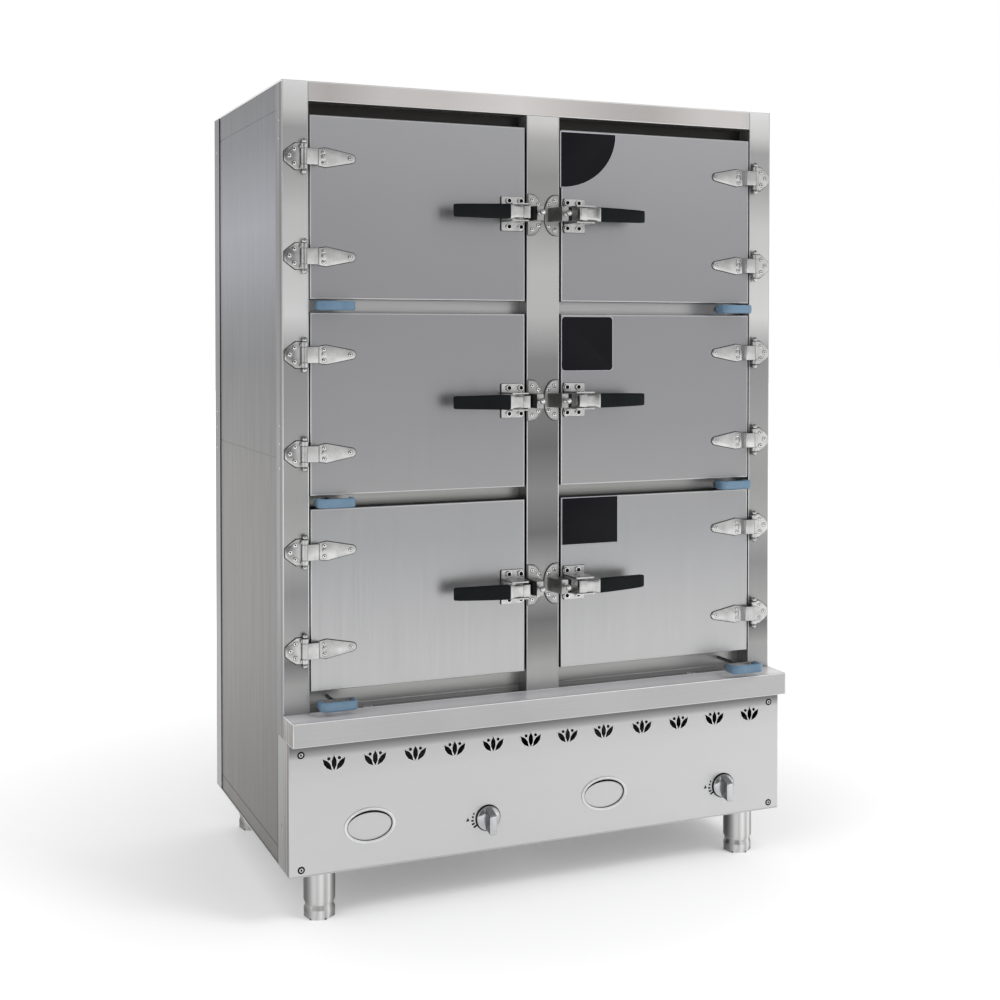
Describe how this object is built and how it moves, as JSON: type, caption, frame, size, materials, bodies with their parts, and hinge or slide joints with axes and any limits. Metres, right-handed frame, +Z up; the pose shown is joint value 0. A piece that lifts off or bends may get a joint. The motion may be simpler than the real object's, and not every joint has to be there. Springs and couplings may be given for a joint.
{
  "type": "rice steamer cabinet",
  "caption": "Tall stainless steam cabinet with two columns of doors, lever latches, blue pull loops for the steam valves, a drip tray and a gas base on short legs",
  "frame": {"origin": "centre of the footprint's bounding box, on the floor under the feet", "axes": "+Z up from the floor, the longest side; +Y from the doors at the front (-Y) to the back, the shortest side; +X to the right as seen from the front"},
  "size_m": [1.206, 0.855, 1.809],
  "materials": {
    "satin_steel": "satin brushed stainless sheet",
    "door_steel": "satin stainless door skin",
    "cast_steel": "polished cast stainless",
    "black_grip": "steel lever under a near-black moulded grip",
    "blue_sleeve": "steel rod and loop under a pale blue soft sleeve",
    "chrome": "polished chrome knob",
    "cast_iron": "bare burner casting",
    "brass": "gas valves and pipe"
  },
  "bodies": {
    "cabinet": {"base_frame": "satin_steel", "left_side_panel": "satin_steel", "right_side_panel": "satin_steel", "back_panel": "satin_steel", "top_cover": "satin_steel", "left_corner_post": "satin_steel", "right_corner_post": "satin_steel", "centre_mullion": "satin_steel", "chamber_face_frame": "satin_steel", "drip_tray": "satin_steel", "lower_front_panel": "satin_steel", "boiler_left": "satin_steel", "boiler_right": "satin_steel", "burner_left": "cast_iron", "burner_right": "cast_iron", "gas_manifold": "brass", "steam_chamber_left_1": "satin_steel", "latch_keeper_left_1": "cast_steel", "steam_chamber_left_2": "satin_steel", "latch_keeper_left_2": "cast_steel", "steam_chamber_left_3": "satin_steel", "latch_keeper_left_3": "cast_steel", "steam_chamber_right_1": "satin_steel", "latch_keeper_right_1": "cast_steel", "steam_chamber_right_2": "satin_steel", "latch_keeper_right_2": "cast_steel", "steam_chamber_right_3": "satin_steel", "latch_keeper_right_3": "cast_steel"},
    "door_left_1": {"door_left_1": "door_steel", "latch_bracket_left_1": "cast_steel"},
    "door_left_2": {"door_left_2": "door_steel", "latch_bracket_left_2": "cast_steel"},
    "door_left_3": {"door_left_3": "door_steel", "latch_bracket_left_3": "cast_steel"},
    "door_right_1": {"door_right_1": "door_steel", "latch_bracket_right_1": "cast_steel"},
    "door_right_2": {"door_right_2": "door_steel", "latch_bracket_right_2": "cast_steel"},
    "door_right_3": {"door_right_3": "door_steel", "latch_bracket_right_3": "cast_steel"},
    "lever_left_1": {"latch_lever_left_1": "black_grip"},
    "lever_left_2": {"latch_lever_left_2": "black_grip"},
    "lever_left_3": {"latch_lever_left_3": "black_grip"},
    "lever_right_1": {"latch_lever_right_1": "black_grip"},
    "lever_right_2": {"latch_lever_right_2": "black_grip"},
    "lever_right_3": {"latch_lever_right_3": "black_grip"},
    "pull_left_1": {"steam_valve_pull_left_1": "blue_sleeve"},
    "pull_left_2": {"steam_valve_pull_left_2": "blue_sleeve"},
    "pull_left_3": {"steam_valve_pull_left_3": "blue_sleeve"},
    "pull_right_1": {"steam_valve_pull_right_1": "blue_sleeve"},
    "pull_right_2": {"steam_valve_pull_right_2": "blue_sleeve"},
    "pull_right_3": {"steam_valve_pull_right_3": "blue_sleeve"},
    "gas_knob_left": {"gas_knob_left": "chrome"},
    "gas_knob_right": {"gas_knob_right": "chrome"},
    "window_flap_left": {"window_flap_left": "satin_steel"},
    "window_flap_right": {"window_flap_right": "satin_steel"},
    "foot_front_left": {"foot_front_left": "satin_steel"},
    "foot_front_right": {"foot_front_right": "satin_steel"},
    "foot_back_left": {"foot_back_left": "satin_steel"},
    "foot_back_right": {"foot_back_right": "satin_steel"}
  },
  "joints": [
    {"name": "door_left_1_hinge", "type": "hinge", "parent": "cabinet", "child": "door_left_1", "pos_m": [-0.557, -0.338, 1.54], "axis": [0, 0, -1], "range_deg": [0, 120]},
    {"name": "door_left_2_hinge", "type": "hinge", "parent": "cabinet", "child": "door_left_2", "pos_m": [-0.557, -0.338, 1.1155], "axis": [0, 0, -1], "range_deg": [0, 120]},
    {"name": "door_left_3_hinge", "type": "hinge", "parent": "cabinet", "child": "door_left_3", "pos_m": [-0.557, -0.338, 0.691], "axis": [0, 0, -1], "range_deg": [0, 120]},
    {"name": "door_right_1_hinge", "type": "hinge", "parent": "cabinet", "child": "door_right_1", "pos_m": [0.557, -0.338, 1.54], "axis": [0, 0, 1], "range_deg": [0, 120]},
    {"name": "door_right_2_hinge", "type": "hinge", "parent": "cabinet", "child": "door_right_2", "pos_m": [0.557, -0.338, 1.1155], "axis": [0, 0, 1], "range_deg": [0, 120]},
    {"name": "door_right_3_hinge", "type": "hinge", "parent": "cabinet", "child": "door_right_3", "pos_m": [0.557, -0.338, 0.691], "axis": [0, 0, 1], "range_deg": [0, 120]},
    {"name": "lever_left_1_pivot", "type": "hinge", "parent": "door_left_1", "child": "lever_left_1", "pos_m": [-0.079, -0.3835, 1.54], "axis": [0, 0, 1], "range_deg": [0, 65]},
    {"name": "lever_left_2_pivot", "type": "hinge", "parent": "door_left_2", "child": "lever_left_2", "pos_m": [-0.079, -0.3835, 1.1155], "axis": [0, 0, 1], "range_deg": [0, 65]},
    {"name": "lever_left_3_pivot", "type": "hinge", "parent": "door_left_3", "child": "lever_left_3", "pos_m": [-0.079, -0.3835, 0.691], "axis": [0, 0, 1], "range_deg": [0, 65]},
    {"name": "lever_right_1_pivot", "type": "hinge", "parent": "door_right_1", "child": "lever_right_1", "pos_m": [0.079, -0.3835, 1.54], "axis": [0, 0, -1], "range_deg": [0, 65]},
    {"name": "lever_right_2_pivot", "type": "hinge", "parent": "door_right_2", "child": "lever_right_2", "pos_m": [0.079, -0.3835, 1.1155], "axis": [0, 0, -1], "range_deg": [0, 65]},
    {"name": "lever_right_3_pivot", "type": "hinge", "parent": "door_right_3", "child": "lever_right_3", "pos_m": [0.079, -0.3835, 0.691], "axis": [0, 0, -1], "range_deg": [0, 65]},
    {"name": "pull_left_1_slide", "type": "slide", "parent": "cabinet", "child": "pull_left_1", "axis": [0, -1, 0], "range_m": [0, 0.06]},
    {"name": "pull_left_2_slide", "type": "slide", "parent": "cabinet", "child": "pull_left_2", "axis": [0, -1, 0], "range_m": [0, 0.06]},
    {"name": "pull_left_3_slide", "type": "slide", "parent": "cabinet", "child": "pull_left_3", "axis": [0, -1, 0], "range_m": [0, 0.06]},
    {"name": "pull_right_1_slide", "type": "slide", "parent": "cabinet", "child": "pull_right_1", "axis": [0, -1, 0], "range_m": [0, 0.06]},
    {"name": "pull_right_2_slide", "type": "slide", "parent": "cabinet", "child": "pull_right_2", "axis": [0, -1, 0], "range_m": [0, 0.06]},
    {"name": "pull_right_3_slide", "type": "slide", "parent": "cabinet", "child": "pull_right_3", "axis": [0, -1, 0], "range_m": [-0.04, 0.02]},
    {"name": "gas_knob_left_turn", "type": "hinge", "parent": "cabinet", "child": "gas_knob_left", "pos_m": [-0.15304, -0.3762, 0.1825], "axis": [0, -1, 0], "range_deg": [0, 90]},
    {"name": "gas_knob_right_turn", "type": "hinge", "parent": "cabinet", "child": "gas_knob_right", "pos_m": [0.44996, -0.3762, 0.1825], "axis": [0, -1, 0], "range_deg": [0, 90]},
    {"name": "window_flap_left_swing", "type": "hinge", "parent": "cabinet", "child": "window_flap_left", "pos_m": [-0.42596, -0.37, 0.241], "axis": [1, 0, 0], "range_deg": [0, 70]},
    {"name": "window_flap_right_swing", "type": "hinge", "parent": "cabinet", "child": "window_flap_right", "pos_m": [0.13495, -0.37, 0.241], "axis": [1, 0, 0], "range_deg": [0, 70]},
    {"name": "foot_front_left_screw", "type": "slide", "parent": "cabinet", "child": "foot_front_left", "axis": [0, 0, 1], "range_m": [-0.02, 0]},
    {"name": "foot_front_right_screw", "type": "slide", "parent": "cabinet", "child": "foot_front_right", "axis": [0, 0, 1], "range_m": [-0.02, 0]},
    {"name": "foot_back_left_screw", "type": "slide", "parent": "cabinet", "child": "foot_back_left", "axis": [0, 0, 1], "range_m": [-0.02, 0]},
    {"name": "foot_back_right_screw", "type": "slide", "parent": "cabinet", "child": "foot_back_right", "axis": [0, 0, 1], "range_m": [-0.02, 0]}
  ]
}
